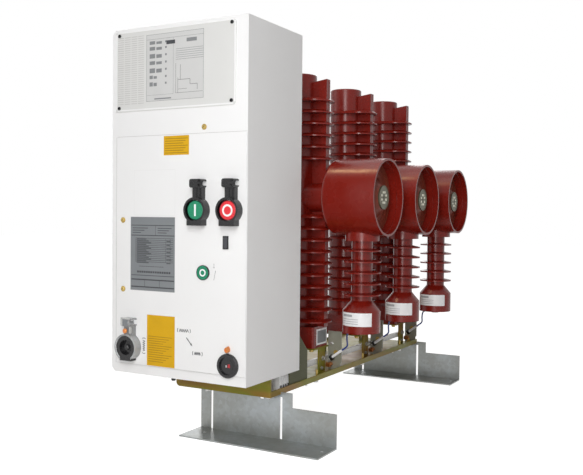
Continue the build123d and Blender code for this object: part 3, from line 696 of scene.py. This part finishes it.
def socket_trim():
    """Hasp, its window, the pin and the drive of the charging socket."""
    x, z = -273.4, 195.0
    head_x = x + 2.5
    head_face, window_face, hasp_face = -20.0, -20.4, -21.2
    window = Batch()
    window.box(head_x - 8.0, head_x + 4.0, window_face, head_face, z + 44.5, z + 57.0)
    window.make("socket_hasp_window", "name_foil")
    hasp = Batch()
    hasp.box(head_x - 12.5, head_x - 8.0, hasp_face, head_face, z + 43.5, z + 58.0)
    hasp.box(head_x - 12.5, head_x + 10.0, hasp_face, head_face, z + 57.0, z + 60.0)
    hasp.box(x + 10.6, x + 12.0, -19.0, -13.0, z + 29.0, z + 42.0)
    hasp.make("socket_hasp", "bright_steel")
    pin = Batch()
    pin.turned((x - 1.5, -16.5, z + 33.0), FRONT, [(0, 5.0), (2.4, 5.0), (3.2, 4.2)], 24)
    pin.make("socket_pin", "copper")
    drive = Batch()
    profile = [(0, 9.5), (1.5, 9.5), (1.6, 6.0), (6.0, 5.6), (6.4, 5.0)]
    drive.turned((x, -9.0, z), FRONT, profile, 6)
    drive.make("socket_drive", "black_plastic")


# Poles, cups and posts
def contact_bolts():
    count = 8
    circle_radius = 12.5
    # The bolt heads' near-white tone is pale plating with a painted glint.
    bolts = Batch()
    for y in POLE_YS:
        for k in range(count):
            angle = 2 * math.pi * (k + 0.5) / count
            place = (CONTACT_FACE, y + circle_radius * math.cos(angle),
                     CUP_Z + circle_radius * math.sin(angle))
            bolts.rod(place, RIGHT, 3.0, 0.9, 12, 0.5)
    bolts.make("contact_bolts", "plated_with_painted_glint")


def disc_rings():
    """Turned steps on the resin floor of each cup and round its contact."""
    steps = ((79.4, 77.6, 1.6), (72.0, 69.0, 1.2), (58.0, 56.5, 0.8))
    rings = Batch()
    edges = Batch()
    for y in POLE_YS:
        for outer, inner, rise in steps:
            rings.ring((CUP_FLOOR_X, y, CUP_Z), RIGHT, outer, inner, rise)
        edges.ring((CONTACT_FACE, y, CUP_Z), RIGHT, 26.5, 24.6, 0.6)
    rings.make("disc_rings", "resin_disc")
    edges.make("contact_edges", "contact_metal")


def post_labels():
    """White labels bent round the foot of each post, with plain rules in place of words."""
    toward_camera = math.atan2(-0.9127, 0.409)
    first, last = toward_camera - math.radians(74), toward_camera + math.radians(32)
    span = last - first
    low, high = 217.0, 247.0
    label_radius = POST_BASE_RADIUS + 0.15
    rule_radius = label_radius + 0.12
    rule_start = first + span * 0.05
    labels = Batch()
    rules = Batch()
    for y in POLE_YS:
        labels.bent_sheet(y, label_radius, first, last, low, high, 20)
        rules.bent_sheet(y, rule_radius, rule_start, first + span * 0.42, high - 9, high - 4, 10)
        for k in range(3):
            z = low + 5 + 5 * k
            rules.bent_sheet(y, rule_radius, rule_start, first + span * 0.6, z, z + 1.2, 10)
    labels.make("post_labels", "white_plastic")
    rules.make("post_label_rules", "faint_ink")


def block_plate():
    """Dark plate in a white edge on the first pole's block."""
    front, rear, bottom, top = 386.0, 437.0, 163.5, 200.0
    border = 4
    edge_face = BLOCK_RIGHT_X + 0.6
    plate_face = BLOCK_RIGHT_X + 0.8
    edge = Batch()
    edge.box(BLOCK_RIGHT_X, edge_face, front, rear, bottom, top)
    edge.make("block_plate_edge", "white_plastic")
    plate = Batch()
    plate.box(edge_face, plate_face, front + border, rear - border, bottom + border, top - border)
    plate.make("block_plate", "name_foil")


def seam_lines():
    """Mould seams down the ridge of each pole and round each cup."""
    seam_face = -39.2
    half = 0.6
    seams = Batch()
    for y in POLE_YS:
        for low, high in ((206.0, 410.0), (597.0, 774.0)):
            seams.box(RIDGE_FACE, seam_face, y - half, y + half, low, high)
        seams.ring((4.0, y, CUP_Z), RIGHT, 86.75, 85.0, 1.2, 96)
    seams.make("mould_seams", "resin")


# Base
def tray_fittings():
    gold = Batch()
    silver = Batch()
    copper = Batch()
    for y in POLE_YS:
        # Bolts up into the pole block
        for bolt_y in (y - 24, y + 26):
            for bolt_x in (-64.0, -164.0):
                gold.bolt((bolt_x, bolt_y, BLOCK_BOTTOM - CARRIER_SHEET), DOWN, 11.0, 5.5)
        # Pressure fitting on the carrier's leg
        fitting_z = 112.0
        copper.rod((-51.0, y + 28, fitting_z), RIGHT, 6.0, 10.0, 6)
        copper.rod((-44.0, y + 28, fitting_z), REAR, 3.6, 12.0, 20)
        copper.rod((-47.0, y + 40, fitting_z), REAR, 5.2, 2.8, 6)
        silver.bolt((-51.0, y + 8, 130.0), RIGHT, 9.0, 6.0)
        silver.bolt((-51.0, y + 2, 108.0), RIGHT, 7.0, 4.0)
        # Bolts of the bracket
        gold.bolt((-34.0, y + BRACKET_FRONT, 140.0), FRONT, 9.0, 5.0)
        silver.bolt((-45.0, y + BRACKET_FRONT, 160.0), FRONT, 7.0, 4.0)
    # Studs through the tray's floor beside its right lip
    stud_x = -27.5
    for y in (339.0, 590.0, 840.0):
        gold.rod((stud_x, y, TRAY_FLOOR), UP, 2.4, 20.0, 16, 0.5)
        gold.bolt((stud_x, y, TRAY_FLOOR), UP, 8.5, 5.0)
        silver.bolt((stud_x, y, TRAY_BOTTOM), DOWN, 9.0, 6.0)
    # Bolts through the feet's tabs
    tab_underside = 92.5
    for y in (151.5, 943.0):
        for x in (-190.0, -40.0):
            silver.bolt((x, y, tab_underside), DOWN, 12.0, 6.5)
            gold.bolt((x, y, TRAY_FLOOR), UP, 12.0, 6.5, shank=11.0)
    gold.make("gold_bolts", "brass")
    silver.make("silver_bolts", "bright_steel")
    copper.make("pressure_fittings", "copper")


def terminal_details():
    front, pitch = 171.5, 10
    half = 3.2
    plugs = Batch()
    wires = Batch()
    for k in range(4):
        y = front + pitch * k + pitch // 2
        plugs.box(-26.9, -25.2, y - half, y + half, 112.0, 128.0)
        wires.rod((-26.0, y, 104.0), UP, 1.2, 8.0, 12)
    plugs.make("terminal_plugs", "white_plastic")
    wires.make("terminal_wires", "ink_and_slot_shade")


def housing_details():
    plugs = Batch()
    for x in (-262.0, -62.0):
        plugs.rod((x, 20.0, HOUSING_UNDERSIDE), DOWN, 3.2, 3.0, 20, 0.6)
    plugs.rod((-176.0, 12.0, HOUSING_UNDERSIDE), DOWN, 4.6, 7.0, 20, 1.2)
    plugs.make("housing_plugs", "black_plastic")
    # White bolt ends under the rail of the tray
    ends = Batch()
    for y in (290.0, 332.0, 540.0, 582.0, 790.0, 832.0):
        ends.rod((-28.0, y, TRAY_BOTTOM), DOWN, 2.6, 5.0, 16, 0.8)
    ends.make("tray_bolt_ends", "white_plastic")
    # Shade lines down the left edge, along the bottom edge and over the top of the cover
    edge_face = COVER_FACE - 0.1
    folds = Batch()
    folds.box(-311.9, -311.3, edge_face, 0.0, 160.0, 615.3)
    folds.box(-311.0, -1.0, edge_face, 0.0, 160.0, 160.5)
    folds.box(-311.0, -1.0, -0.3, 0.0, 616.2, 617.0)
    folds.make("cover_edge_shade", "slot_shade")


# Stage
def math_node(tree, operation, first, second):
    """A maths node whose inputs are sockets or numbers."""
    node = tree.nodes.new("ShaderNodeMath")
    node.operation = operation
    for k, value in enumerate((first, second)):
        if isinstance(value, float):
            node.inputs[k].default_value = value
        else:
            tree.links.new(value, node.inputs[k])
    return node.outputs[0]


def background_rays(tree):
    """1 for the rays that see the white background: from the camera, through clear pieces, off metal."""
    ray = tree.nodes.new("ShaderNodeLightPath")
    seen = math_node(tree, "MAXIMUM", ray.outputs["Is Camera Ray"], ray.outputs["Is Transmission Ray"])
    return math_node(tree, "MAXIMUM", seen, ray.outputs["Is Glossy Ray"])


def shaded_floor():
    """Floor that is white to the background rays, with the object's own soft shadow on it."""
    material = bpy.data.materials.new("floor")
    material.use_nodes = True
    tree = material.node_tree
    shader = tree.nodes["Principled BSDF"]
    shader.inputs["Base Color"].default_value = (0.8, 0.8, 0.8, 1)
    shader.inputs["Roughness"].default_value = 0.9
    shader.inputs["Specular IOR Level"].default_value = 0.1
    white = tree.nodes.new("ShaderNodeEmission")
    white.inputs["Strength"].default_value = FLOOR_WHITE
    share = math_node(tree, "MULTIPLY", background_rays(tree), FLOOR_SHARE)
    blend = tree.nodes.new("ShaderNodeMixShader")
    tree.links.new(share, blend.inputs["Fac"])
    tree.links.new(shader.outputs[0], blend.inputs[1])
    tree.links.new(white.outputs[0], blend.inputs[2])
    tree.links.new(blend.outputs[0], tree.nodes["Material Output"].inputs["Surface"])
    return material


def studio_world():
    """World that is white to the background rays, and dim as a light on the object."""
    world = bpy.data.worlds.new("studio")
    bpy.context.scene.world = world
    world.use_nodes = True
    tree = world.node_tree
    background = tree.nodes["Background"]
    background.inputs["Color"].default_value = (1, 1, 1, 1)
    strength = tree.nodes.new("ShaderNodeMapRange")
    strength.inputs["To Min"].default_value = ROOM_LIGHT
    strength.inputs["To Max"].default_value = 1.0
    tree.links.new(background_rays(tree), strength.inputs["Value"])
    tree.links.new(strength.outputs["Result"], background.inputs["Strength"])


def stage():
    mesh = bpy.data.meshes.new("floor")
    corners = [(x * FLOOR_HALF, y * FLOOR_HALF, 0) for x, y in ((-1, -1), (1, -1), (1, 1), (-1, 1))]
    mesh.from_pydata(corners, [], [(0, 1, 2, 3)])
    mesh.materials.append(shaded_floor())
    floor = bpy.data.objects.new("floor", mesh)
    bpy.context.scene.collection.objects.link(floor)
    studio_world()


def lamp(name, place, target, width, height, watts, colour):
    light = bpy.data.lights.new(name, "AREA")
    light.shape = "RECTANGLE"
    light.size = width
    light.size_y = height
    light.energy = watts
    light.color = colour
    lamp_object = bpy.data.objects.new(name, light)
    lamp_object.location = place
    aim = Vector(target) - Vector(place)
    lamp_object.rotation_euler = aim.to_track_quat("-Z", "Y").to_euler()
    bpy.context.scene.collection.objects.link(lamp_object)


def camera():
    """The photograph's own view, found from the edges of the housing and the poles."""
    photo_width = 583
    focal_pixels = 811.52
    sensor = 36.0
    place = at(800.20, -1267.04, 462.35)
    yaw, pitch, roll = (math.radians(a) for a in (29.10, 1.61, 0.56))
    level = math.cos(pitch)
    forward = Vector((-math.sin(yaw) * level, math.cos(yaw) * level, -math.sin(pitch)))
    right = Vector((math.cos(yaw), math.sin(yaw), 0))
    up = right.cross(forward)
    tilted_right = right * math.cos(roll) + up * math.sin(roll)
    tilted_up = up * math.cos(roll) - right * math.sin(roll)
    data = bpy.data.cameras.new("photo_camera")
    data.sensor_width = sensor
    data.lens = focal_pixels * sensor / photo_width
    data.shift_x = -0.5 / photo_width
    data.shift_y = 0.5 / photo_width
    view = bpy.data.objects.new("photo_camera", data)
    turn = Matrix((tilted_right, tilted_up, -forward)).transposed().to_4x4()
    view.matrix_world = Matrix.Translation(place) @ turn
    bpy.context.scene.collection.objects.link(view)
    bpy.context.scene.camera = view


vent_slot_shade()
vent_panel_edge_highlight()
vent_panel_screws()
panel_label()
yellow_plates()
nameplate()
cover_print()
pressed_outline_shade()
cover_screws()
button_marks()
guard_ribs()
indicator_marks()
counter_glass()
lock_face()
socket_trim()
contact_bolts()
disc_rings()
post_labels()
block_plate()
seam_lines()
tray_fittings()
terminal_details()
housing_details()

stage()
for values in LAMPS:
    lamp(*values)
camera()

bpy.context.scene.view_settings.view_transform = "Standard"
